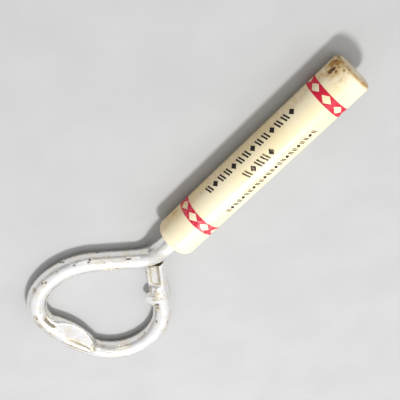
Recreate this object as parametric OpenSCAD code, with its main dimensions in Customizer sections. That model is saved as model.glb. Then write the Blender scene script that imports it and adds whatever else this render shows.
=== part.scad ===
// Souvenir bottle opener: a bent steel rod with a coined lip and a tooth, pressed into a
// turned wooden handle that carries a coat of enamel and printed decoration.
// Millimetres. It lies on z = 0 with its handle along +X; the origin is the middle of its footprint.

/* [Handle] */
// Outside diameter of the handle over its enamel
handle_d = 13.2; // [12:0.1:15]
// Length of the handle
handle_length = 75; // [70:1:90]
// Thickness of the enamel coat
coat_t = 0.2; // [0.1:0.05:0.4]
// Rounding of the end that the rod enters
front_round = 3; // [2:0.1:3.5]
// Rounding of the butt end
butt_round = 1.6; // [1:0.1:2.5]

/* [Rod] */
// Diameter of the steel rod
rod_d = 6.35; // [5:0.05:7]
// Length of rod that is pressed into the handle
tang_length = 32; // [20:1:45]
// Radial gap between the rod and its hole in the wood
tang_gap = 0.05; // [0.02:0.01:0.1]
// Downward slope of the crank between handle height and loop height, in degrees
crank_slope = 23.5; // [20:0.5:28]
// Length of the straight leg that ends beside the shank
free_leg = 20.9; // [19:0.1:21.5]
// Slant of the sheared free end, in degrees
shear_angle = 24; // [0:1:30]

/* [Lip and tooth] */
// Length of the coined lip along the rod
lip_length = 20; // [16:0.5:21]
// How far the lip stands proud of the rod towards the loop
lip_reach = 2.3; // [1.5:0.1:2.6]
// Thickness of the coined lip
lip_t = 3.6; // [3:0.1:4.5]
// Distance from the start of the straightest bend to the middle of the lip
lip_middle = 11; // [9:0.5:12]
// How far the tooth stands proud of the leg towards the loop
tooth_reach = 2.2; // [1.2:0.1:2.4]
// Width of the rounded tooth where it leaves the leg
tooth_w = 5.2; // [4:0.1:8]
// Distance from the start of the free leg to the middle of the tooth
tooth_middle = 5.3; // [4:0.1:9]

/* [Printed decoration] */
// Thickness of the printed films
film_t = 0.05; // [0.03:0.01:0.1]
// Width of each red band
band_w = 3.4; // [2.5:0.1:4]
// Distance from the rod end of the handle to the middle of the front band
front_band_x = 12.8; // [10:0.1:14]
// Distance from the butt to the middle of the rear band
rear_band_x = 10.4; // [9:0.1:14]
// Number of diamonds round each band
diamond_count = 8; // [6:1:8]
// How many of them come before the one next to the top
diamonds_below = 3; // [2:1:4]
// Angle from one diamond to the next, in degrees
diamond_pitch = 42.5; // [38:0.5:45]
// Length of a diamond along the handle
diamond_length = 2.6; // [1.5:0.1:2.8]
// Width of a diamond round the handle
diamond_w = 3.8; // [2.4:0.1:4]
// Height of the bold and short ornaments, round the handle
bold_h = 2.6; // [2:0.1:2.8]
// Height of the fine ornament, round the handle
fine_h = 1.6; // [1.2:0.1:1.8]

/* [Hidden] */
$fn = 96;

handle_r = handle_d / 2;
axis_z = handle_r + film_t;
core_r = handle_r - coat_t;
rod_r = rod_d / 2;
bore_r = rod_r + tang_gap;
round_steps = 8;
overlap = 1;

// The bend table. Each row: straight feed before the bend, bend radius, then the plan heading
// and the slope that the rod leaves the bend with, in degrees.
function bends(crank_feed) = [
    [1, 10, 189, -crank_slope],
    [crank_feed, 7.6, 128.5, 0],
    [12.6, 18.4, 192.5, 0],
    [0, 13.4, 255, 0],
    [0, 64, 274, 0],
    [0, 15, 375, 0],
    [0, 18, 408, 0]
];

function direction(heading, slope) =
    [cos(slope) * cos(heading), cos(slope) * sin(heading), sin(slope)];
function unit(v) = v / norm(v);

// One stretch of rod for each row: [start, heading, feed, side that the bend turns to, radius, angle]
function stretches(table, start, heading, i = 0) =
    i == len(table) ? [[start, heading, free_leg, [0, 0, 0], 0, 0]] :
    let(
        next = direction(table[i][2], table[i][3]),
        angle = acos(heading * next),
        side = unit(next - (heading * next) * heading),
        radius = table[i][1],
        corner = start + table[i][0] * heading,
        end = corner + radius * (sin(angle) * heading + (1 - cos(angle)) * side)
    )
    concat(
        [[start, heading, table[i][0], side, radius, angle]],
        stretches(table, end, next, i + 1)
    );
function loop_z(crank_feed) = stretches(bends(crank_feed), shank_start, shank_heading)[LEG][0][2];
function heading_in(s, turn) = cos(turn) * s[1] + sin(turn) * s[3];
function point_in(s, turn) =
    s[0] + s[2] * s[1] + s[4] * (sin(turn) * s[1] + (1 - cos(turn)) * s[3]);

// The crank is as long as it takes to bring the loop down to the table.
LIP = 4;
LEG = 7;
shank_start = [0, 0, axis_z];
shank_heading = direction(180, 0);
crank_feed = (loop_z(0) - rod_r) / sin(crank_slope);
rod = stretches(bends(crank_feed), shank_start, shank_heading);

// Footprint of the loop, from points along every bend
rod_points = [for (s = rod) for (k = [0:20]) point_in(s, s[5] * k / 20)];
loop_min_x = min([for (p = rod_points) p[0]]) - rod_r;
loop_min_y = min([for (p = rod_points) p[1]]) - rod_r;
loop_max_y = max([for (p = rod_points) p[1]]) + rod_r;
origin_x = (loop_min_x + handle_length) / 2;
origin_y = (loop_min_y + loop_max_y) / 2;

// Rings of the swept rod. Each ring: [centre, heading, distance from the lip, from the tooth, shear]
sides = 24;
far_off = 100;
coarse = 1.6;
fine = 0.9;
function ring_count(i) = ceil(rod[i][4] * rod[i][5] * PI / 180 / (i == LIP ? fine : coarse));
bend_rings = [
    for (i = [0:LEG - 1]) let(s = rod[i], n = ring_count(i)) for (k = [(s[2] > 0 || i == 0 ? 0 : 1):n])
        [point_in(s, s[5] * k / n), heading_in(s, s[5] * k / n),
            i == LIP ? s[4] * s[5] * PI / 180 * k / n - lip_middle : far_off, far_off, 0]
];
leg = rod[LEG];
slanted_end = 4.5;
function slant_at(from_end) = shear_angle * smooth(1 - from_end / slanted_end);
leg_steps = floor(free_leg / fine);
leg_rings = [
    for (k = [1:leg_steps]) let(feed = free_leg * k / leg_steps)
        [leg[0] + feed * leg[1], leg[1], far_off, feed - tooth_middle, slant_at(free_leg - feed)]
];
rings = concat(
    [[shank_start + [tang_length, 0, 0], shank_heading, far_off, far_off, 0]],
    bend_rings,
    leg_rings
);

// The section is a circle that the dies flatten at the lip and push out at the lip and the tooth.
lip_shoulder = 0.4;
tooth_low = -10;
tooth_high = 65;
function clamp(v, low, high) = min(max(v, low), high);
function smooth(v) = let(t = clamp(v, 0, 1)) t * t * (3 - 2 * t);
function lip_bulge(u) = lip_reach * max(0, 1 - pow(2 * u / lip_length, 2));
function die_depth(u) = smooth((lip_length / 2 - abs(u)) / lip_shoulder + 0.5);
function tooth_bulge(u) = pow(cos(clamp(180 * u / tooth_w, -90, 90)), 0.8);
function section_point(t, u, v) = let(
        round_side = rod_r * cos(t),
        round_up = rod_r * sin(t),
        inner = smooth((cos(t) + 0.35) / 0.5),
        in_tooth = t >= tooth_low && t <= tooth_high ? tooth_bulge(v) : 0,
        side = round_side + inner * lip_bulge(u) + in_tooth * (rod_r + tooth_reach - round_side),
        flat = rod_r + (lip_t / 2 - rod_r) * die_depth(u) * inner,
        up = clamp(round_up, -flat, flat)
    ) [side, up];
function ring_points(ring) = let(
        heading = ring[1],
        side = unit([-heading[1], heading[0], 0]),
        up = cross(heading, side)
    )
    [for (k = [0:sides - 1]) let(p = section_point(wrapped(360 * k / sides), ring[2], ring[3]))
        ring[0] + p[0] * side + p[1] * up - p[0] * tan(ring[4]) * heading];
function wrapped(t) = t > 180 ? t - 360 : t;

// Ornament rows, by their angle from the top of the handle towards +Y
bold_row_angle = 70;
short_row_angle = 30;
fine_row_angle = -11;
row_middle = 38.7;
bold_count = 14;
short_count = 5;
fine_count = 24;
bold_pitch = 2.55;
short_pitch = 2.4;
fine_pitch = 1.48;
bold_stroke = 0.55;
fine_stroke = 0.3;
slant = 20;
bar_gap = 0.8;
front_diamond_angle = 3.9;
rear_diamond_angle = -11.5;

// Points of a quarter circle, for the rounded ends
function quarter(centre, radius, from) = [
    for (k = [0:round_steps])
        centre + radius * [cos(from + 90 * k / round_steps), sin(from + 90 * k / round_steps)]
];

// Solid of the handle's shape, pulled in by inset on every side, along +X
module handle_body(inset) {
    r = handle_r - inset;
    front_r = front_round - inset;
    butt_r = butt_round - inset;
    translate([0, 0, axis_z])
        rotate([0, 90, 0])
            rotate_extrude()
                polygon(concat(
                    [[0, inset]],
                    quarter([r - front_r, front_round], front_r, -90),
                    quarter([r - butt_r, handle_length - butt_round], butt_r, 0),
                    [[0, handle_length - inset]]
                ));
}

// Places its children on the handle's axis, with their +Z at the given angle round it
module round_handle(x, angle) {
    translate([x, 0, axis_z])
        rotate([-angle, 0, 0])
            children();
}

// A printed film as long as the given stretch of handle
module film(x, length) {
    translate([x, 0, axis_z])
        rotate([0, 90, 0])
            difference() {
                cylinder(r = handle_r + film_t, h = length);
                translate([0, 0, -overlap])
                    cylinder(r = handle_r, h = length + 2 * overlap);
            }
}

// Cutter through the film from inside the handle outwards, with the children's outline
module through_film() {
    translate([0, 0, core_r / 2])
        linear_extrude(handle_r)
            children();
}

module lozenge(length, width) {
    polygon([[-length / 2, 0], [0, -width / 2], [length / 2, 0], [0, width / 2]]);
}

// Two slanted strokes side by side
module slanted_pair(stroke, height) {
    for (side = [-1, 1])
        translate([side * stroke * (1 + bar_gap) / 2, 0])
            rotate(-slant)
                square([stroke, height], center = true);
}

module band(middle, top_diamond) {
    difference() {
        film(middle - band_w / 2, band_w);
        for (k = [0:diamond_count - 1])
            round_handle(middle, top_diamond + (k - diamonds_below) * diamond_pitch)
                through_film()
                    lozenge(diamond_length, diamond_w);
    }
}

// A row of printed motifs: lozenges at every third place and slanted pairs between
module ornament_row(count, pitch, angle, height, stroke) {
    row_length = count * pitch;
    intersection() {
        film(row_middle - row_length / 2 - overlap, row_length + 2 * overlap);
        for (k = [0:count - 1])
            round_handle(row_middle + (k - (count - 1) / 2) * pitch, angle)
                through_film()
                    if (k % 3 == 1) lozenge(pitch * 0.8, height * 0.9);
                    else slanted_pair(stroke, height);
    }
}

// Skin through a list of rings of points, closed at both ends
module swept(points) {
    n = len(points);
    m = len(points[0]);
    polyhedron(
        points = [for (ring = points) for (p = ring) p],
        faces = concat(
            [[for (k = [0:m - 1]) k]],
            [for (i = [0:n - 2]) for (k = [0:m - 1]) let(next = (k + 1) % m)
                for (face = [
                    [i * m + k, (i + 1) * m + k, (i + 1) * m + next],
                    [i * m + k, (i + 1) * m + next, i * m + next]
                ]) face],
            [[for (k = [m - 1:-1:0]) (n - 1) * m + k]]
        )
    );
}

module handle_core() {
    color("burlywood")
        difference() {
            handle_body(coat_t);
            translate([0, 0, axis_z])
                rotate([0, 90, 0])
                    cylinder(r = bore_r, h = tang_length + 1);
        }
}

module enamel_coat() {
    color([0.96, 0.91, 0.71])
        difference() {
            handle_body(0);
            handle_body(coat_t);
            translate([-overlap, 0, axis_z])
                rotate([0, 90, 0])
                    cylinder(r = bore_r, h = overlap + front_round);
        }
}

module front_band() {
    color([0.85, 0.08, 0.25])
        band(front_band_x, front_diamond_angle);
}

module rear_band() {
    color([0.85, 0.08, 0.25])
        band(handle_length - rear_band_x, rear_diamond_angle);
}

module bold_ornament() {
    color("black")
        ornament_row(bold_count, bold_pitch, bold_row_angle, bold_h, bold_stroke);
}

module short_ornament() {
    color("black")
        ornament_row(short_count, short_pitch, short_row_angle, bold_h, bold_stroke);
}

module fine_ornament() {
    color("black")
        ornament_row(fine_count, fine_pitch, fine_row_angle, fine_h, fine_stroke);
}

module opener_wire() {
    color("silver")
        swept([for (ring = rings) ring_points(ring)]);
}

translate([-origin_x, -origin_y, 0]) {
    handle_core();
    enamel_coat();
    front_band();
    rear_band();
    bold_ornament();
    short_ornament();
    fine_ornament();
    opener_wire();
}
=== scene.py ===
"""A souvenir bottle opener: a bent, plated steel rod in an enamelled wooden handle.

Lengths in this script are millimetres until a mesh is made; every mesh is in metres.
"""

import math
import random

import bpy
import numpy as np
from mathutils import Matrix, Vector, geometry, noise


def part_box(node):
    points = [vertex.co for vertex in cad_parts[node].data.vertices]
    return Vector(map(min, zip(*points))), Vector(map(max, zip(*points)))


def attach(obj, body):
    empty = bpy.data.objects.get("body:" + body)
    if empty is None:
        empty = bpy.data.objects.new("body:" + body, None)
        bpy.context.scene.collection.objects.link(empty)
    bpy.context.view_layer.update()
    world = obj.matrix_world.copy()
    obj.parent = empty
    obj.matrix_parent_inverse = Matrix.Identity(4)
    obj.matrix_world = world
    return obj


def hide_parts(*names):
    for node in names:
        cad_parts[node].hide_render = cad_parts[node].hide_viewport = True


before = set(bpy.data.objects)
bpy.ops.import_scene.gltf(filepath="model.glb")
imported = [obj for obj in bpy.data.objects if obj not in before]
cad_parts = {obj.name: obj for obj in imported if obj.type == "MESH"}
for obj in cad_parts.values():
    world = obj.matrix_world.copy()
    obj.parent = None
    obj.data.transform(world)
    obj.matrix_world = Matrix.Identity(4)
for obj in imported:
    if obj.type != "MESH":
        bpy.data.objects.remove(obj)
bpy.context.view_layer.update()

MM = 0.001
SHARP_EDGE = 40

# ---------------------------------------------------------------- sizes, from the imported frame

coat_low, coat_high = (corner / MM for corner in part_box("enamel_coat"))
_, rod_high = (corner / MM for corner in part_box("opener_wire"))
HANDLE_START = coat_low.x
HANDLE_LENGTH = coat_high.x - coat_low.x
HANDLE_R = (coat_high.y - coat_low.y) / 2
AXIS_Y = (coat_low.y + coat_high.y) / 2
AXIS_Z = (coat_low.z + coat_high.z) / 2
FACET_LOSS = 0.03
ROD_R = rod_high.z - AXIS_Z - FACET_LOSS

COAT_T = 0.2
FRONT_ROUND = 3.0
BUTT_ROUND = 1.6
HOLE_R = ROD_R + 0.04

# ---------------------------------------------------------------- small helpers


def smooth_step(value, low=0.0, high=1.0):
    t = np.clip((value - low) / (high - low), 0.0, 1.0)
    return t * t * (3 - 2 * t)


def window(value, low, high, soft):
    """1 between low and high, falling to 0 over soft on either side."""
    return smooth_step(value, low - soft, low) * (1 - smooth_step(value, high, high + soft))


def bell(distance, spread):
    """1 in the middle of a mark, falling to 0 over about twice the spread."""
    return np.exp(-((distance / spread) ** 2))


def turned(angle, start):
    """Degrees from start to angle, from -180 to 180."""
    return (angle - start + 180) % 360 - 180


def soft_min(a, b, blend):
    """The smaller of two values, rounded over by blend where they meet."""
    return 0.5 * (a + b - np.sqrt((a - b) ** 2 + blend**2))


def field(points, scale, seed):
    """Smooth noise from -1 to 1 at each point, at features of about 1 / scale."""
    shift = Vector((seed * 7.31, seed * 3.17, seed * 5.73))
    return np.array([noise.noise(Vector(p) * scale + shift) for p in points])


def grid_faces(rows, columns):
    """Quads between rings of points, each ring closed on itself."""
    faces = []
    for i in range(rows - 1):
        for k in range(columns):
            after = (k + 1) % columns
            a, b = i * columns, (i + 1) * columns
            faces.append((a + k, a + after, b + after, b + k))
    return faces


def new_object(name, points, faces, layers=None, smooth=True):
    """A mesh object from points in millimetres, with float layers on its points."""
    mesh = bpy.data.meshes.new(name)
    mesh.from_pydata([tuple(float(c) * MM for c in p) for p in points], [], faces)
    for layer, values in (layers or {}).items():
        attribute = mesh.attributes.new(layer, "FLOAT", "POINT")
        attribute.data.foreach_set("value", np.asarray(values, np.float32))
    mesh.polygons.foreach_set("use_smooth", [smooth] * len(mesh.polygons))
    mesh.update()
    mesh.set_sharp_from_angle(angle=math.radians(SHARP_EDGE))
    piece = bpy.data.objects.new(name, mesh)
    bpy.context.scene.collection.objects.link(piece)
    return piece


def place(piece, material, slot, *nodes):
    """Gives a finished piece its material and its part in the frame."""
    piece.data.materials.append(material)
    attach(piece, "root")
    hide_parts(*nodes)


# ---------------------------------------------------------------- the rod's route

# Straight feed before the bend, bend radius, then the heading and slope after it, in degrees
CRANK_SLOPE = 23.5
BENDS = [
    (1, 10, 189, -CRANK_SLOPE),
    (None, 7.6, 128.5, 0),
    (12.6, 18.4, 192.5, 0),
    (0, 13.4, 255, 0),
    (0, 64, 274, 0),
    (0, 15, 375, 0),
    (0, 18, 408, 0),
]
# The lip lies on this bend of the table, and its middle this far into it.
LIP_BEND = 4
LIP_MIDDLE = 11
FREE_LEG = 20.9
TANG = 32.0
TANG_STEP = 4.0
STEP = 0.3
END_ROUND = 0.5
END_STEP = 0.1


def direction(heading, slope):
    h, s = math.radians(heading), math.radians(slope)
    return np.array([math.cos(s) * math.cos(h), math.cos(s) * math.sin(h), math.sin(s)])


def walk(crank_feed):
    """Stations along the rod: centres, headings, and the distances where the bends start."""
    here = np.array([HANDLE_START, AXIS_Y, AXIS_Z])
    heading = direction(180, 0)
    here = here - TANG * heading
    centres, headings, starts = [here], [heading], []
    travelled = 0.0

    def feed(length, step=STEP):
        nonlocal here, travelled
        steps = math.ceil(length / step)
        for _ in range(steps):
            here = here + heading * length / steps
            centres.append(here)
            headings.append(heading)
        travelled += length

    feed(TANG, TANG_STEP)
    for length, radius, turn_to, slope in BENDS:
        feed(crank_feed if length is None else length)
        starts.append(travelled)
        after = direction(turn_to, slope)
        angle = math.acos(np.clip(heading @ after, -1, 1))
        side = after - (heading @ after) * heading
        side = side / np.linalg.norm(side)
        begin, before = here, heading
        steps = math.ceil(angle * radius / STEP)
        for k in range(1, steps + 1):
            turn = angle * k / steps
            here = begin + radius * (math.sin(turn) * before + (1 - math.cos(turn)) * side)
            heading = math.cos(turn) * before + math.sin(turn) * side
            centres.append(here)
            headings.append(heading)
        travelled += angle * radius
    starts.append(travelled)
    feed(FREE_LEG - END_ROUND)
    feed(END_ROUND, END_STEP)
    return np.array(centres), np.array(headings), starts


flat_walk = walk(0.0)[0]
crank_feed = (flat_walk[-1][2] - ROD_R - FACET_LOSS) / math.sin(math.radians(CRANK_SLOPE))
centres, headings, bend_starts = walk(crank_feed)
along = np.concatenate([[0], np.cumsum(np.linalg.norm(np.diff(centres, axis=0), axis=1))])
lip_at = bend_starts[LIP_BEND] + LIP_MIDDLE
leg_at = bend_starts[-1]

# ---------------------------------------------------------------- the rod's section

# On the section, angles start at the loop's inside: 90 is the top of the rod, 180 its outside.
# A RUN is where a mark lies along the rod, and a TURN where on its section, as window() takes it.
ROD_SIDES = 96

LIP_LENGTH = 20.0
LIP_REACH = 2.3
LIP_FACE_TILT = 30.0
LIP_FACE_OUT = 3.22
LIP_FACE_SPARE = 0.6
LIP_FACE_TURN = (0, 85, 6)
DIE_STARTS = (-9.4, -7.4)
DIE_ENDS = (8.2, 8.8)

# Marks beside the lip: millimetres from its middle along the rod, degrees round the section
GROOVE_RUN = (-13.9, -8.7, 0.9)
GROOVE_TURN = (50, 64, 9)
TARNISH_RUN = (-15.5, -8.0, 2)
TARNISH_TURN = (45, 118, 22)
BURR_RUN = (-1.6, 8.4, 0.9)
BURR_MIDDLE = -0.5
BURR_ANGLE = 93
BURR_SKEW = 1.3
BURR_SPREAD = 9
HOLLOW_FROM_BURR = 14
HOLLOW_SPREAD = 6
DIE_STEPS = (8.9, 10.1)
DIE_STEP_SPREAD = 0.3
DIE_STEP_TURN = (12, 48, 8)
NUB_FROM_LIP = 9.4
NUB_ANGLE = 64
NUB_SIZE = (1.5, 1.15)

# The tooth and the free leg: distances along the rod are from where the leg starts.
TOOTH_MIDDLE = 5.3
TOOTH_WIDTH = 5.2
TOOTH_TURN = (2, 52, 14)
TOOTH_FULLNESS = 0.6
TOOTH_REACH = 2.2
TOOTH_SQUARE = 0.35
PUNCH_RUN = (3.6, 7.0, 1.6)
FACET_TILT = 20
FACET_OUT = 2.85
FACET_SLOPE = 0.1
FACET_CREASE = 0.4
FACET_SPARE = 0.8
FAN_AT = (8.6, 2.6)
FAN_STEP = 30.0
FAN_REACH = (0.7, 3.0, 0.5)
FAN_ABOVE = 0.8
FAN_OVERLAP = 0.4
LEG_FLAT = 2.3
LEG_FLAT_TILT = 35.0
LEG_FLAT_STARTS = (11.0, 12.4)
LEG_FLAT_SPARE = 1.2
LEG_FLAT_BLEND = 0.06
LEG_PUSHED = (1.0, 13.0)
LEG_SPREAD = 0.6
LEG_LOSS = 0.6
FLUTE_HALF = 1.9
FLUTE_DEPTH = 0.22
FLUTE_START = 12.2
FLUTE_RUN = 1.6
SHEAR = 24.0
SHEAR_RUN = 4.5
END_WEAR = 0.14
CAP_RINGS = [0.96, 0.88, 0.6, 0.2]
# Inside the sheared end's rim: rust on the bare steel, and painted shade from the shank's shadow.
CAP_RUST_AND_SHADE = 1.5
CAP_STAIN = 0.8

# How far each mark stands proud of the rod, or sinks into it, and how much it is stained
MARK_HEIGHTS = {
    "burr": 0.35, "nub": 0.4, "steps": 0.28, "fan": 0.17, "groove": -0.32, "hollow": -0.12
}
MARK_STAINS = {"hollow": 1.3, "burr": 0.7, "nub": 1.2, "groove": 1.2, "tarnish": 0.5, "fan": 1.1}
GROOVE_DIRT = 0.56

# Marks on the plating: distance from the handle, angle on the section, half length, half width
PITS = [
    (17.8, 134, 1.3, 0.36),
    (29.6, 146, 0.4, 0.55),
    (34.1, 135, 0.45, 0.4),
    (37.4, 188, 0.45, 0.5),
    (43.7, 126, 0.6, 0.4),
    (44.6, 138, 0.45, 0.4),
    (90.8, 60, 1.5, 0.2),
    (116.6, 120, 0.9, 0.3),
    (123.9, 54, 0.9, 0.25),
    (125.2, 63, 0.8, 0.28),
    (58.6, 104, 0.5, 0.4),
]
STAINS = [
    (48.1, 146, 1.0, 1.2),
    (61.8, 112, 2.0, 1.3),
    (58.0, 105, 1.6, 0.9),
    (65.4, 84, 1.6, 0.8),
    (74.5, 104, 2.4, 0.6),
    (83.4, 68, 1.1, 1.1),
    (124.0, 52, 1.6, 1.2),
    (130.6, 74, 1.4, 1.0),
    (139.3, 10, 1.5, 1.6),
    (55.0, 190, 3.0, 1.5),
    (40.0, 200, 4.0, 1.0),
]
PIT_DEPTH = 0.1
PIT_SEED = 11
SMALL_PITS = 150
SMALL_PITS_START = 8
SMALL_PITS_MOST_AT = 22
SMALL_PIT_SIZE = 0.12
SMALL_PIT_SIZE_RANGE = 0.36
SMALL_PIT_ANGLE = 110
SMALL_PIT_ANGLE_SPREAD = 70

section = np.linspace(0, 360, ROD_SIDES, endpoint=False)[None, :]
section = np.where(section > 180, section - 360, section)
from_lip = (along - lip_at)[:, None]
from_leg = (along - leg_at)[:, None]


def bulge(distance, length):
    return np.maximum(0, 1 - (2 * distance / length) ** 2)


def press(side, up, tilt, out, blend=0.05):
    """Cuts the top and the bottom by planes that tilt down towards the loop's inside."""
    n_side, n_up = math.sin(math.radians(tilt)), math.cos(math.radians(tilt))
    limit = (out - side * n_side) / n_up
    top = np.where(up > 0, soft_min(up, limit, blend), up)
    return np.where(top < 0, -soft_min(-top, limit, blend), top)


def spot(at, angle, half_length, half_width):
    """A soft mark at a distance along the rod and an angle on its section."""
    arc = np.radians(turned(section, angle)) * ROD_R
    return np.exp(-(((along[:, None] - at) / half_length) ** 2) - (arc / half_width) ** 2)


def press_lip():
    """The lip: the inner half swells, and tilted dies flatten it above and below."""
    t = np.radians(section)
    inner_r = ROD_R + LIP_REACH * bulge(from_lip, LIP_LENGTH)
    side = np.where(np.cos(t) > 0, inner_r, ROD_R) * np.cos(t)
    up = ROD_R * np.sin(t) + 0 * from_lip
    in_die = smooth_step(from_lip, *DIE_STARTS) * (1 - smooth_step(from_lip, *DIE_ENDS))
    up = press(side, up, LIP_FACE_TILT, LIP_FACE_OUT + (1 - in_die) * LIP_FACE_SPARE)
    return side, up, in_die


def die_marks():
    """What the dies left: a groove on the way in, a burr on the outer edge, a nub at its end."""
    from_burr = section - BURR_ANGLE + BURR_SKEW * (from_lip - BURR_MIDDLE)
    along_burr = window(from_lip, *BURR_RUN)
    steps = sum(bell(from_lip - at, DIE_STEP_SPREAD) for at in DIE_STEPS)
    return {
        "groove": window(from_lip, *GROOVE_RUN) * window(section, *GROOVE_TURN),
        "tarnish": window(from_lip, *TARNISH_RUN) * window(section, *TARNISH_TURN),
        "burr": along_burr * bell(from_burr, BURR_SPREAD),
        "hollow": along_burr * bell(np.abs(from_burr) - HOLLOW_FROM_BURR, HOLLOW_SPREAD),
        "steps": steps * window(section, *DIE_STEP_TURN),
        "nub": spot(lip_at + NUB_FROM_LIP, NUB_ANGLE, *NUB_SIZE),
    }


def raise_tooth(side, up):
    """The tooth: a rounded lug on the upper half of the free leg's inner side."""
    tooth = bulge(from_leg - TOOTH_MIDDLE, TOOTH_WIDTH) ** TOOTH_FULLNESS
    tooth = tooth * window(section, *TOOTH_TURN)
    side = side + tooth * (TOOTH_REACH + TOOTH_SQUARE * (ROD_R - side))
    # The punch that raised it left two facets that meet in a crease.
    off_crease = np.abs(from_leg - TOOTH_MIDDLE - FACET_CREASE)
    unpunched = 1 - window(from_leg, *PUNCH_RUN)
    facet_out = FACET_OUT + FACET_SLOPE * off_crease + unpunched * FACET_SPARE
    up = np.where(up > 0, press(side, up, FACET_TILT, facet_out), up)
    return side, up


def tooth_creases(side, up):
    """Creases that fan out over the leg from where the tooth leaves it."""
    away, inwards = from_leg - FAN_AT[0], FAN_AT[1] - side
    turn = np.degrees(np.arctan2(away, inwards))
    fan = 0.5 + 0.5 * np.cos(np.radians(turn * 360 / FAN_STEP))
    fan = fan * window(np.hypot(away, inwards), *FAN_REACH)
    return fan * (up > FAN_ABOVE) * (side < FAN_AT[1] + FAN_OVERLAP)


def flatten_leg(side, up):
    """The leg's end: pushed inwards, with a fluted facet that faces up into the loop."""
    spare = (1 - smooth_step(from_leg, *LEG_FLAT_STARTS)) * LEG_FLAT_SPARE
    pressed = press(side, up, LEG_FLAT_TILT, LEG_FLAT + spare, LEG_FLAT_BLEND)
    up = np.where(up > 0, pressed, up)
    tilt = math.radians(LEG_FLAT_TILT)
    off_middle = side * math.cos(tilt) - up * math.sin(tilt)
    before = np.maximum(0, (FLUTE_START + FLUTE_RUN - from_leg) / FLUTE_RUN)
    flute = 1 - (off_middle / FLUTE_HALF) ** 2 - before**2
    flute = np.clip(flute, 0, 1) * (up > 0)
    side = side - FLUTE_DEPTH * flute * math.sin(tilt)
    up = up - FLUTE_DEPTH * flute * math.cos(tilt)
    inner, outer = np.clip(side / ROD_R, 0, 1), np.clip(-side / ROD_R, 0, 1)
    side = side + smooth_step(from_leg, *LEG_PUSHED) * (LEG_SPREAD * inner + LEG_LOSS * outer)
    return side, up, flute


def plating_marks(in_die):
    """Pits in the plating, large ones in their places and small ones scattered, and stains."""
    dice = random.Random(PIT_SEED)
    pits = np.zeros((len(along), ROD_SIDES))
    off_face = 1 - in_die * window(section, *LIP_FACE_TURN)
    for at, angle, half_length, half_width in PITS:
        pits = np.maximum(pits, spot(at + TANG, angle, half_length, half_width))
    for _ in range(SMALL_PITS):
        at = TANG + dice.triangular(SMALL_PITS_START, leg_at - TANG, SMALL_PITS_MOST_AT)
        size = SMALL_PIT_SIZE + SMALL_PIT_SIZE_RANGE * dice.random() ** 3
        strength = dice.uniform(0.5, 1) * off_face
        angle = dice.gauss(SMALL_PIT_ANGLE, SMALL_PIT_ANGLE_SPREAD)
        half_length = size * dice.uniform(1, 2)
        pits = np.maximum(pits, strength * spot(at, angle, half_length, size))
    stains_and_shade = np.zeros_like(pits)
    for at, angle, half_length, half_width in STAINS:
        stains_and_shade = np.maximum(stains_and_shade, spot(at + TANG, angle, half_length, half_width))
    return pits, stains_and_shade


def rod_surface():
    """Side and up coordinates of every point of the rod, its dirt, and its stains with the painted
    shade of the flute's sides.
    """
    side, up, in_die = press_lip()
    marks = die_marks()
    side, up = raise_tooth(side, up)
    marks["fan"] = tooth_creases(side, up)
    side, up, flute = flatten_leg(side, up)
    pits, stains_and_shade = plating_marks(in_die)

    worn_end = np.clip((along - along[-1] + END_ROUND) / END_ROUND, 0, 1)[:, None]
    rounded = END_WEAR * (1 - np.sqrt(1 - worn_end**2))
    dents = sum(height * marks[mark] for mark, height in MARK_HEIGHTS.items())
    scale = 1 + (dents - PIT_DEPTH * pits) / ROD_R - rounded
    dirt_and_shade = np.maximum(pits, GROOVE_DIRT * marks["groove"])
    stained = [share * marks[mark] for mark, share in MARK_STAINS.items()]
    # Painted shade: dark stripes along the flute's sloping sides.
    painted_flute_shade = 4 * flute * (1 - flute)
    stains_and_shade = np.maximum.reduce([stains_and_shade, painted_flute_shade, *stained])
    return side * scale, up * scale, dirt_and_shade, stains_and_shade


def make_rod():
    side, up, dirt_and_shade, stains_and_shade = rod_surface()
    across = np.cross([0, 0, 1.0], headings)
    across /= np.linalg.norm(across, axis=1)[:, None]
    above = np.cross(headings, across)
    shear = math.tan(math.radians(SHEAR)) * smooth_step(along, along[-1] - SHEAR_RUN, along[-1])
    rings = (
        centres[:, None, :]
        + side[:, :, None] * across[:, None, :]
        + up[:, :, None] * above[:, None, :]
        - (shear[:, None] * side)[:, :, None] * headings[:, None, :]
    )
    # The sheared end closes in rings too, so that inside its rim it can be darkened: rust on the
    # bare steel, and painted shade where the shank's shadow falls.
    end = rings[-1]
    cap = [end.mean(axis=0) + (end - end.mean(axis=0)) * share for share in CAP_RINGS]
    points = np.concatenate([rings.reshape(-1, 3), *cap])
    rust_and_shade = [0.0] + [CAP_RUST_AND_SHADE] * (len(CAP_RINGS) - 1)
    dirt_and_shade = np.concatenate([dirt_and_shade.reshape(-1), np.repeat(rust_and_shade, ROD_SIDES)])
    cap_stains = np.repeat([CAP_STAIN] * len(CAP_RINGS), ROD_SIDES)
    stains_and_shade = np.concatenate([stains_and_shade.reshape(-1), cap_stains])
    count = len(along) + len(CAP_RINGS)
    faces = grid_faces(count, ROD_SIDES)
    faces.append(tuple(range(ROD_SIDES))[::-1])
    faces.append(tuple((count - 1) * ROD_SIDES + k for k in range(ROD_SIDES)))
    return new_object("opener_rod", points, faces, {"dirt_and_shade": dirt_and_shade, "stain_and_shade": stains_and_shade})


# ---------------------------------------------------------------- the handle's enamel

AROUND = 264

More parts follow.
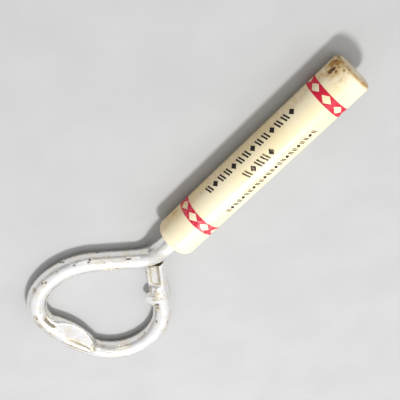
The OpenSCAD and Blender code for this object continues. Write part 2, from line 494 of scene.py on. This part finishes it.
# Chips down to the wood: distance from the rod end, angle round the handle, half length, half width
CHIPS = [
    (70.9, 77, 1.4, 0.8),
    (73.5, 83, 1.2, 1.1),
    (72.2, 94, 1.5, 1.2),
    (73.0, 69, 0.3, 0.35),
    (71.6, 66, 0.4, 0.3),
    (73.4, 53.5, 0.25, 0.3),
    (74.6, -64, 0.6, 1.5),
    (74.2, 150, 0.7, 1.0),
    (72.4, 205, 0.5, 0.7),
    (0.8, 118, 0.5, 0.9),
]
# Stains: distance from the rod end, angle round the handle, half length, half width. The marks at 8
# mm and at 72.4 mm lie on the +Y flank: tan stain, and also painted shade.
HANDLE_STAINS_AND_SHADE = [
    (67.6, 87, 1.6, 1.6),
    (72.4, 84, 4.2, 6.0),
    (8.0, 96, 3.0, 1.2),
    (40.0, 200, 6.0, 2.5),
]

# Rings of the coat are close together near the butt, where the chips are, and wider beyond.
QUARTER_STEPS = 14
CENTRE_R = 0.001
RING_GAP = 0.2
FACE_STEP = 0.3
FINE_STEP = 0.15
FINE_END = 67
WIDE_STEP = 0.5
WIDE_START = 66.6
HOLE_LIP = [(0.02, HOLE_R + 0.12), (0.15, HOLE_R)]

# A mark fades out between these shares of its own half size.
CHIP_EDGE = (0.82, 1.0)
CHIP_STAIN_EDGE = (0.9, 2.8)
STAIN_AND_SHADE_EDGE = (0.2, 1.3)

# The coat's other wear, and painted shade on its +Y flank and round the rod's hole: lengths in
# millimetres, and strengths from 0 to 1
STAIN_AND_SHADE_SHARE = 0.95
# Painted shade on the +Y flank, the side turned away from the key light
SHADED_FLANK_TURN = (86, 140, 24)
SHADED_FLANK_SHARE = 0.5
SHADED_FLANK_R = 5.2
RIM_FROM_BUTT = 0.5
RIM_SPREAD = 0.42
RIM_R = 3
RIM_WOOD = 0.75
# Painted shade round the rod's hole
HOLE_SHADE_SPREAD = 0.6
HOLE_SHADE_LENGTH = 1
END_FACE_DEPTH = 0.3
END_FACE_STAIN = 0.7
WAVE_HEIGHT = 0.012
CHIP_DEPTH = 0.14


def handle_point(x, angle, radius):
    """A point of the handle: millimetres from the rod end, degrees from the top towards +Y."""
    a = np.radians(angle)
    y, z = AXIS_Y + radius * np.sin(a), AXIS_Z + radius * np.cos(a)
    return np.stack([HANDLE_START + x + 0 * a, y, z], -1)


def quarter(x, radius, size, start):
    """Profile points of a rounded edge, as distance along and radius."""
    turns = [math.radians(start + 90 * k / QUARTER_STEPS) for k in range(QUARTER_STEPS + 1)]
    return [(x + size * math.cos(turn), radius + size * math.sin(turn)) for turn in turns]


def coat_profile():
    """From the middle of the butt, along the outside to the rod's hole, and back inside."""
    inner_r = HANDLE_R - COAT_T
    butt = HANDLE_LENGTH
    face = np.arange(CENTRE_R, HANDLE_R - BUTT_ROUND - RING_GAP, FACE_STEP)
    fine = np.arange(butt - BUTT_ROUND - FINE_STEP, FINE_END, -FINE_STEP)
    wide = np.arange(WIDE_START, FRONT_ROUND + RING_GAP, -WIDE_STEP)
    outside = [(butt, r) for r in face]
    outside += quarter(butt - BUTT_ROUND, HANDLE_R - BUTT_ROUND, BUTT_ROUND, 0)
    outside += [(x, HANDLE_R) for x in [*fine, *wide]]
    outside += quarter(FRONT_ROUND, HANDLE_R - FRONT_ROUND, FRONT_ROUND, 90)
    outside += HOLE_LIP
    lining = [(FRONT_ROUND, inner_r), (butt - BUTT_ROUND, inner_r), (butt - COAT_T, CENTRE_R)]
    return outside, [(COAT_T, HOLE_R)] + lining


def make_coat():
    outside, lining = coat_profile()
    profile = np.array(outside + lining)
    angles = np.linspace(0, 360, AROUND, endpoint=False)
    x = np.repeat(profile[:, 0], AROUND)
    radius = np.repeat(profile[:, 1], AROUND)
    angle = np.tile(angles, len(profile))
    outer = np.repeat([True] * len(outside) + [False] * len(lining), AROUND)
    base = handle_point(x, angle, radius)
    from_rim = np.where(x > HANDLE_LENGTH / 2, HANDLE_R - radius, radius - HANDLE_R)
    unrolled = x + from_rim
    ragged = field(base, 1.1, 1) * 0.45 + field(base, 3.1, 2) * 0.25

    def reach(at, turn, half_length, half_width):
        """Distance from the middle of a mark, where 1 is its ragged edge."""
        arc = turned(angle, turn) * math.pi / 180 * HANDLE_R
        return np.hypot((unrolled - at) / half_length, arc / half_width) + ragged

    wood = np.zeros(len(x))
    stain_and_shade = np.zeros(len(x))
    for chip in CHIPS:
        wood = np.maximum(wood, 1 - smooth_step(reach(*chip), *CHIP_EDGE))
        stain_and_shade = np.maximum(stain_and_shade, 1 - smooth_step(reach(*chip), *CHIP_STAIN_EDGE))
    for mark in HANDLE_STAINS_AND_SHADE:
        stain_and_shade = np.maximum(stain_and_shade, STAIN_AND_SHADE_SHARE * (1 - smooth_step(reach(*mark), *STAIN_AND_SHADE_EDGE)))
    # Painted shade: the +Y flank, turned away from the key light, is darkened towards ochre.
    painted_flank_shade = SHADED_FLANK_SHARE * window(angle, *SHADED_FLANK_TURN) * (1 + 0.3 * ragged)
    stain_and_shade = np.maximum(stain_and_shade, painted_flank_shade * smooth_step(radius, SHADED_FLANK_R, HANDLE_R))
    # The rim of the butt is rubbed through in patches, and painted shade darkens the enamel round
    # the rod's hole.
    rim = bell(x - HANDLE_LENGTH + RIM_FROM_BUTT, RIM_SPREAD) * (radius > RIM_R)
    rubbed = smooth_step(field(base, 0.45, 3) + 0.5 * field(base, 2.3, 4), -0.25, 0.45)
    wood = np.maximum(wood, RIM_WOOD * rim * rubbed)
    painted_hole_shade = bell(radius - HOLE_R, HOLE_SHADE_SPREAD) * (x < HOLE_SHADE_LENGTH)
    stain_and_shade = np.maximum.reduce([stain_and_shade, rim, painted_hole_shade])
    # The flat end has stood on shelves: the enamel there is thin and dirty.
    end_face = (x > HANDLE_LENGTH - END_FACE_DEPTH) * outer
    dirty = smooth_step(field(base, 0.5, 6) + 0.6 * field(base, 1.9, 7), -0.2, 0.6)
    stain_and_shade = np.maximum(stain_and_shade, END_FACE_STAIN * end_face * dirty)
    wood, stain_and_shade = wood * outer, stain_and_shade * outer

    # Brushed enamel is never quite round, and the chips go most of the way to the wood.
    waves = WAVE_HEIGHT * (field(base, 0.22, 5) - 1)
    depth = np.where(outer, waves - CHIP_DEPTH * wood, 0)
    on_flank = np.where(radius < HANDLE_R - 0.05, 0.0, 1.0)
    share = np.maximum(on_flank, np.clip(radius / HANDLE_R, 0, 1)) * (radius > 0.01)
    radius = radius + depth * share
    points = handle_point(x, angle, radius)
    faces = grid_faces(len(profile), AROUND)
    last = (len(profile) - 1) * AROUND
    faces.append(tuple(range(AROUND))[::-1])
    faces.append(tuple(last + k for k in range(AROUND)))
    return new_object("enamel", points, faces, {"wood": wood, "stain_and_shade": stain_and_shade})


# ---------------------------------------------------------------- printed films

FILM_RAISED = 0.04
FILM_SUNK = 0.03
BAND_SEAM = 0.12
BAND_STEPS = 120
BAND_WIDTH = 3.4
FRONT_BAND_X = 12.8
REAR_BAND_X = HANDLE_LENGTH - 10.4
DIAMOND_COUNT = 8
DIAMONDS_BELOW = 3
DIAMOND_PITCH = 42.5
DIAMOND_LENGTH = 2.6
DIAMOND_WIDTH = 3.8
FRONT_DIAMOND = 3.9
REAR_DIAMOND = -11.5
BAND_CELL = 0.35

ROW_MIDDLE = 38.7
ROW_CELL = 0.25
SLANT = 20
BAR_GAP = 0.8
BOLD_STROKE = 0.55
FINE_STROKE = 0.3
LOZENGE_LENGTH = 0.8
LOZENGE_HEIGHT = 0.9


def inside(point, ring):
    """Whether a flat point lies in a ring of points, by counting the edges on one side of it."""
    hit = False
    for (xa, ya), (xb, yb) in zip(ring, ring[1:] + ring[:1]):
        if (ya > point[1]) != (yb > point[1]):
            hit ^= point[0] < (xb - xa) * (point[1] - ya) / (yb - ya) + xa
    return hit


def fill(outlines, holes, cell):
    """Triangles that fill flat outlines around their holes, with points about a cell apart."""
    spots, edges = [], []
    for ring in outlines + holes:
        first = len(spots)
        spots += [Vector(p) for p in ring]
        edges += [(first + k, first + (k + 1) % len(ring)) for k in range(len(ring))]
    rim_count = len(spots)
    low, high = np.min(spots, axis=0), np.max(spots, axis=0)
    for a in np.arange(low[0] + cell / 2, high[0], cell):
        spots += [Vector((a, b)) for b in np.arange(low[1] + cell / 2, high[1], cell)]
    flat, _, faces, sources, *_ = geometry.delaunay_2d_cdt(spots, edges, [], 0, 1e-5)
    kept = []
    for face in faces:
        middle = sum((flat[k] for k in face), Vector((0, 0))) / len(face)
        if any(inside(middle, r) for r in outlines) and not any(inside(middle, r) for r in holes):
            kept.append(face)
    used = {k: n for n, k in enumerate(sorted({k for face in kept for k in face}))}
    on_rim = [any(source < rim_count for source in sources[k]) for k in used]
    renumbered = [tuple(used[k] for k in face) for face in kept]
    return np.array([flat[k] for k in used]), renumbered, on_rim


def film(name, outlines, holes, cell, fade):
    """Prints flat shapes, drawn along the handle and round it, as one thin closed film."""
    flat, faces, on_rim = fill(outlines, holes, cell)
    angle = np.degrees(flat[:, 1] / HANDLE_R)
    count = len(flat)
    top = handle_point(flat[:, 0], angle, HANDLE_R + FILM_RAISED)
    under = handle_point(flat[:, 0], angle, HANDLE_R - FILM_SUNK)
    sides = {(face[k], face[(k + 1) % len(face)]) for face in faces for k in range(len(face))}
    rim = [(a, b) for a, b in sides if (b, a) not in sides]
    shell = faces + [tuple(k + count for k in face)[::-1] for face in faces]
    shell += [(b, a, a + count, b + count) for a, b in sorted(rim)]
    layers = {"edge": on_rim * 2, "fade": [fade] * count * 2}
    return new_object(name, np.concatenate([top, under]), shell, layers)


def lozenge(x, arc, length, width):
    ends, sides = length / 2, width / 2
    return [(x - ends, arc), (x, arc - sides), (x + ends, arc), (x, arc + sides)]


def slanted_pair(x, arc, stroke, height):
    """Two slanted strokes side by side."""
    turn = Matrix.Rotation(math.radians(SLANT), 2)
    strokes = []
    for away in (-1, 1):
        middle = Vector((x + away * stroke * (1 + BAR_GAP) / 2, arc))
        corners = [(-stroke, -height), (stroke, -height), (stroke, height), (-stroke, height)]
        strokes.append([tuple(middle + turn @ Vector(c) / 2) for c in corners])
    return strokes


def make_band(name, middle, top_diamond, fade):
    """A red band with diamonds left open, which meets itself at the back."""
    first_diamond = top_diamond - DIAMONDS_BELOW * DIAMOND_PITCH
    first = math.radians(first_diamond - DIAMOND_PITCH / 2) * HANDLE_R
    length = 2 * math.pi * HANDLE_R - BAND_SEAM
    low, high = middle - BAND_WIDTH / 2, middle + BAND_WIDTH / 2
    steps = [first + length * k / BAND_STEPS for k in range(BAND_STEPS + 1)]
    outline = [(low, arc) for arc in steps] + [(high, arc) for arc in reversed(steps)]
    holes = []
    for k in range(DIAMOND_COUNT):
        arc = math.radians(first_diamond + k * DIAMOND_PITCH) * HANDLE_R
        holes.append(lozenge(middle, arc, DIAMOND_LENGTH, DIAMOND_WIDTH))
    return film(name, [outline], holes, BAND_CELL, fade)


def make_row(name, count, pitch, angle, height, stroke, fade):
    """A row of printed motifs: lozenges at every third place and slanted pairs between.

    The pitch, height and stroke are in millimetres, and the angle is round the handle.
    """
    arc = math.radians(angle) * HANDLE_R
    shapes = []
    for k in range(count):
        x = ROW_MIDDLE + (k - (count - 1) / 2) * pitch
        if k % 3 == 1:
            shapes.append(lozenge(x, arc, pitch * LOZENGE_LENGTH, height * LOZENGE_HEIGHT))
        else:
            shapes += slanted_pair(x, arc, stroke, height)
    return film(name, shapes, [], ROW_CELL, fade)


# ---------------------------------------------------------------- materials

# Linear colours
PLATING = (0.95, 0.94, 0.93)
PLATING_DULL = (0.91, 0.85, 0.74)
# Olive stain, and also the colour of the painted shade on the flute's sloping sides.
PLATING_STAIN_AND_SHADE = (0.40, 0.35, 0.24)
# Dark brown of rust in the pits, and also the painted shade inside the sheared end.
RUST_AND_SHADE = (0.060, 0.040, 0.026)
CREAM = (0.86, 0.755, 0.53)
CREAM_DEEP = (0.84, 0.71, 0.43)
CREAM_GRIME = (0.48, 0.36, 0.17)
# Ochre stain, and also the colour of the painted shade on the handle.
CREAM_STAIN_AND_SHADE = (0.52, 0.29, 0.05)
CHIP_WOOD = (0.50, 0.25, 0.04)
CHIP_WOOD_GRAIN = (0.28, 0.12, 0.02)
CHIP_DIRT = (0.13, 0.052, 0.012)
WOOD = (0.48, 0.29, 0.12)
WOOD_GRAIN = (0.24, 0.12, 0.04)
RED_INK = ((0.58, 0.011, 0.042), (0.42, 0.004, 0.020), (0.70, 0.25, 0.27))
BLACK_INK = ((0.016, 0.010, 0.008), (0.010, 0.006, 0.004), (0.30, 0.24, 0.14))
FLOOR = (0.415, 0.415, 0.41)
FLOOR_PALE = (0.44, 0.44, 0.435)


class Nodes:
    """Short ways to build a node material around one Principled shader."""

    def __init__(self, name):
        self.material = bpy.data.materials.new(name)
        self.material.use_nodes = True
        self.tree = self.material.node_tree
        self.shader = self.tree.nodes["Principled BSDF"]
        self.place = self.node("ShaderNodeTexCoord").outputs["Object"]

    def node(self, kind, **settings):
        made = self.tree.nodes.new(kind)
        for key, value in settings.items():
            setattr(made, key, value)
        return made

    def link(self, source, target):
        self.tree.links.new(source, target)
        return target

    def layer(self, name):
        return self.node("ShaderNodeAttribute", attribute_name=name).outputs["Fac"]

    def stretched(self, x, y, z):
        mapping = self.node("ShaderNodeMapping")
        mapping.inputs["Scale"].default_value = (x, y, z)
        self.link(self.place, mapping.inputs["Vector"])
        return mapping.outputs["Vector"]

    def noise(self, scale, detail=4.0, rough=0.55, place=None):
        """Noise whose features are about 1 / scale metres across."""
        made = self.node("ShaderNodeTexNoise")
        made.inputs["Scale"].default_value = scale
        made.inputs["Detail"].default_value = detail
        made.inputs["Roughness"].default_value = rough
        self.link(place or self.place, made.inputs["Vector"])
        return made.outputs["Fac"]

    def ramp(self, source, low, high, first=0.0, last=1.0):
        made = self.node("ShaderNodeMapRange")
        made.interpolation_type = "SMOOTHSTEP"
        limits = {"From Min": low, "From Max": high, "To Min": first, "To Max": last}
        for key, value in limits.items():
            made.inputs[key].default_value = value
        self.link(source, made.inputs["Value"])
        return made.outputs["Result"]

    def maths(self, operation, a, b):
        made = self.node("ShaderNodeMath", operation=operation)
        for socket, value in zip(made.inputs, (a, b)):
            if isinstance(value, (int, float)):
                socket.default_value = value
            else:
                self.link(value, socket)
        return made.outputs["Value"]

    def mix(self, factor, first, second):
        made = self.node("ShaderNodeMix", data_type="RGBA")
        self.link(factor, made.inputs["Factor"])
        for socket, value in ((made.inputs["A"], first), (made.inputs["B"], second)):
            if isinstance(value, tuple):
                socket.default_value = (*value, 1)
            else:
                self.link(value, socket)
        return made.outputs["Result"]

    def bump(self, height, distance, strength=1.0, normal=None):
        made = self.node("ShaderNodeBump")
        made.inputs["Strength"].default_value = strength
        made.inputs["Distance"].default_value = distance
        self.link(height, made.inputs["Height"])
        if normal:
            self.link(normal, made.inputs["Normal"])
        return made.outputs["Normal"]

    def set(self, **values):
        for key, value in values.items():
            socket = self.shader.inputs[key.replace("_", " ")]
            if isinstance(value, (int, float)):
                socket.default_value = value
            elif isinstance(value, tuple):
                socket.default_value = (*value, 1)
            else:
                self.link(value, socket)
        return self.material


def plated_steel():
    n = Nodes("worn_plating")
    patches = n.ramp(n.noise(260, 3), 0.42, 0.68)
    bright = n.mix(patches, PLATING, PLATING_DULL)
    # The stain layer holds real stains and the painted shade of the flute's sides.
    stain_and_shade = n.ramp(n.maths("MULTIPLY", n.layer("stain_and_shade"), n.noise(1300, 4, 0.65)), 0.12, 0.5)
    bright = n.mix(n.maths("MULTIPLY", stain_and_shade, 0.85), bright, PLATING_STAIN_AND_SHADE)
    specks = n.ramp(n.noise(2600, 2, 0.4), 0.68, 0.76)
    clusters = n.ramp(n.noise(170, 2), 0.5, 0.62)
    dirt_and_shade = n.maths("MAXIMUM", n.layer("dirt_and_shade"), n.maths("MULTIPLY", specks, clusters))
    broken = n.ramp(n.noise(3000, 3, 0.6), 0.3, 0.6, 0.55, 1.0)
    dirt_and_shade = n.ramp(n.maths("MULTIPLY", dirt_and_shade, broken), 0.28, 0.7)
    # Pits and rust turn dark, and so does the painted shade inside the sheared end.
    colour = n.mix(dirt_and_shade, bright, RUST_AND_SHADE)
    haze = n.ramp(n.noise(400, 3, 0.5), 0.35, 0.75, 0.2, 0.32)
    rough = n.maths("ADD", haze, n.maths("MULTIPLY", n.maths("MAXIMUM", dirt_and_shade, stain_and_shade), 0.3))
    metal = n.ramp(dirt_and_shade, 0.2, 0.9, 1.0, 0.2)
    scratches = n.noise(1600, 3, 0.6, n.stretched(1, 1, 4))
    normal = n.bump(scratches, 0.00001, 0.3)
    normal = n.bump(n.noise(260, 2), 0.00005, 0.4, normal)
    return n.set(Base_Color=colour, Metallic=metal, Roughness=rough, Normal=normal)


def cream_enamel():
    n = Nodes("cream_enamel")
    tone = n.mix(n.ramp(n.noise(90, 3), 0.35, 0.7), CREAM, CREAM_DEEP)
    grime = n.ramp(n.noise(1500, 4, 0.7), 0.62, 0.8, 0.0, 0.3)
    tone = n.mix(grime, tone, CREAM_GRIME)
    # The stain layer holds real stains, and painted shade on the +Y flank, along the front end and
    # round the rod's hole.
    stain_and_shade = n.layer("stain_and_shade")
    broken = n.ramp(n.noise(800, 4, 0.6), 0.25, 0.6, 0.25, 1.0)
    stain_and_shade = n.maths("MULTIPLY", stain_and_shade, broken)
    tone = n.mix(n.maths("MULTIPLY", stain_and_shade, 0.88), tone, CREAM_STAIN_AND_SHADE)
    grain = n.noise(900, 5, 0.6, n.stretched(0.12, 1, 1))
    pale_wood = n.mix(n.ramp(grain, 0.35, 0.65), CHIP_WOOD, CHIP_WOOD_GRAIN)
    wood_tone = n.mix(n.ramp(n.noise(420, 3, 0.5), 0.46, 0.6), pale_wood, CHIP_DIRT)
    bare = n.layer("wood")
    colour = n.mix(bare, tone, wood_tone)
    gloss = n.ramp(n.noise(600, 4), 0.3, 0.7, 0.32, 0.46)
    rough = n.maths("ADD", gloss, n.maths("MULTIPLY", bare, 0.3))
    normal = n.bump(n.noise(300, 4, 0.5), 0.00006, 0.35)
    normal = n.bump(grain, 0.00005, 0.2, normal)
    coat = {"Coat_Weight": 0.12, "Coat_Roughness": 0.2}
    return n.set(Base_Color=colour, Roughness=rough, Normal=normal, **coat)


def printed_ink(name, ink, heavy, faded):
    """Ink that lies heavier at its edges and is worn through in patches."""
    n = Nodes(name)
    edge = n.ramp(n.layer("edge"), 0.2, 1.0)
    edge = n.maths("MULTIPLY", edge, n.ramp(n.noise(700, 3), 0.35, 0.6))
    colour = n.mix(n.maths("MULTIPLY", edge, 0.8), ink, heavy)
    patchy = n.maths("ADD", n.noise(1300, 5, 0.65), n.maths("MULTIPLY", n.layer("fade"), 0.3))
    colour = n.mix(n.ramp(patchy, 0.62, 0.84), colour, faded)
    rough = n.ramp(n.noise(900, 3), 0.3, 0.7, 0.34, 0.5)
    normal = n.bump(n.noise(1800, 4, 0.6), 0.00002, 0.35)
    return n.set(Base_Color=colour, Roughness=rough, Normal=normal, Specular_IOR_Level=0.25)


def bare_wood():
    n = Nodes("bare_wood")
    grain = n.noise(900, 6, 0.6, n.stretched(0.1, 1, 1))
    colour = n.mix(n.ramp(grain, 0.35, 0.65), WOOD, WOOD_GRAIN)
    rough = n.ramp(grain, 0.3, 0.7, 0.5, 0.7)
    return n.set(Base_Color=colour, Roughness=rough, Normal=n.bump(grain, 0.0001, 0.4))


def pale_floor():
    n = Nodes("pale_floor")
    colour = n.mix(n.ramp(n.noise(40, 4), 0.3, 0.7), FLOOR, FLOOR_PALE)
    return n.set(Base_Color=colour, Roughness=0.85)


# ---------------------------------------------------------------- camera, floor and light

VIEW_AZIMUTH = 60.04
VIEW_ELEVATION = 49.42
VIEW_DISTANCE = 247.3
VIEW_ROLL = 160.2
VIEW_TARGET = (4.15, 2.40, 0)
VIEW_LENS = 72
CLIP_START = 0.01
FLOOR_HALF = 2500

LIT_FROM = (-0.28, -0.30, 0.91)
STUDIO_COLOUR = (0.97, 0.98, 1.0, 1)
STUDIO_DIM = 0.4
STUDIO_BRIGHT = 0.92
DIM_FACING = -0.1
BRIGHT_FACING = 0.75


def make_camera():
    azimuth, elevation = math.radians(VIEW_AZIMUTH), math.radians(VIEW_ELEVATION)
    level = math.cos(elevation)
    back = Vector((level * math.cos(azimuth), level * math.sin(azimuth), math.sin(elevation)))
    camera = bpy.data.objects.new("camera", bpy.data.cameras.new("camera"))
    bpy.context.scene.collection.objects.link(camera)
    camera.data.lens = VIEW_LENS
    camera.data.clip_start = CLIP_START
    upright = back.to_track_quat("Z", "Y").to_matrix()
    camera.rotation_mode = "QUATERNION"
    rolled = upright @ Matrix.Rotation(math.radians(VIEW_ROLL), 3, "Z")
    camera.rotation_quaternion = rolled.to_quaternion()
    camera.location = (Vector(VIEW_TARGET) + back * VIEW_DISTANCE) * MM
    bpy.context.scene.camera = camera


def make_floor():
    low, high = -FLOOR_HALF, FLOOR_HALF
    corners = [(low, low, 0), (high, low, 0), (high, high, 0), (low, high, 0)]
    floor = new_object("floor", corners, [(0, 1, 2, 3)], smooth=False)
    floor.data.materials.append(pale_floor())


def make_light(name, place, size, watts):
    """A round lamp that faces the object; its size is in millimetres."""
    lamp = bpy.data.objects.new(name, bpy.data.lights.new(name, "AREA"))
    bpy.context.scene.collection.objects.link(lamp)
    lamp.data.shape = "DISK"
    lamp.data.size = size * MM
    lamp.data.energy = watts
    lamp.location = Vector(place) * MM
    lamp.rotation_mode = "QUATERNION"
    lamp.rotation_quaternion = Vector(place).to_track_quat("Z", "Y")


def make_world():
    """A soft studio, bright overhead and on the key light's side and dim low on the other side."""
    world = bpy.data.worlds.new("studio")
    bpy.context.scene.world = world
    world.use_nodes = True
    tree = world.node_tree
    around = tree.nodes.new("ShaderNodeTexCoord")
    facing = tree.nodes.new("ShaderNodeVectorMath")
    facing.operation = "DOT_PRODUCT"
    facing.inputs[1].default_value = LIT_FROM
    strength = tree.nodes.new("ShaderNodeMapRange")
    strength.interpolation_type = "SMOOTHSTEP"
    strength.inputs["From Min"].default_value = DIM_FACING
    strength.inputs["From Max"].default_value = BRIGHT_FACING
    strength.inputs["To Min"].default_value = STUDIO_DIM
    strength.inputs["To Max"].default_value = STUDIO_BRIGHT
    tree.links.new(around.outputs["Generated"], facing.inputs[0])
    tree.links.new(facing.outputs["Value"], strength.inputs["Value"])
    tree.links.new(strength.outputs["Result"], tree.nodes["Background"].inputs["Strength"])
    tree.nodes["Background"].inputs["Color"].default_value = STUDIO_COLOUR


# ---------------------------------------------------------------- build

make_camera()
make_floor()
make_world()
make_light("key", (-150, -120, 500), size=95, watts=2.4)
make_light("fill", (380, 420, 420), size=420, watts=0.2)
make_light("glint", (250, -280, 330), size=150, watts=0.12)
bpy.context.scene.view_settings.view_transform = "Standard"

place(make_rod(), plated_steel(), "plated_steel", "opener_wire")
place(make_coat(), cream_enamel(), "cream_enamel", "enamel_coat")

red = printed_ink("red_print", *RED_INK)
black = printed_ink("black_print", *BLACK_INK)
front_stripe = make_band("front_stripe", FRONT_BAND_X, FRONT_DIAMOND, fade=0.55)
rear_stripe = make_band("rear_stripe", REAR_BAND_X, REAR_DIAMOND, fade=0)
bold_row = make_row("bold_row", 14, 2.55, 70, 2.6, BOLD_STROKE, fade=0)
short_row = make_row("short_row", 5, 2.4, 30, 2.6, BOLD_STROKE, fade=0.6)
fine_row = make_row("fine_row", 24, 1.48, -11, 1.6, FINE_STROKE, fade=0.3)
place(front_stripe, red, "red_print", "front_band")
place(rear_stripe, red, "red_print", "rear_band")
place(bold_row, black, "black_print", "bold_ornament")
place(short_row, black, "black_print", "short_ornament")
place(fine_row, black, "black_print", "fine_ornament")

wood = bare_wood()
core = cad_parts["handle_core"]
for slot in core.material_slots:
    slot.material = wood
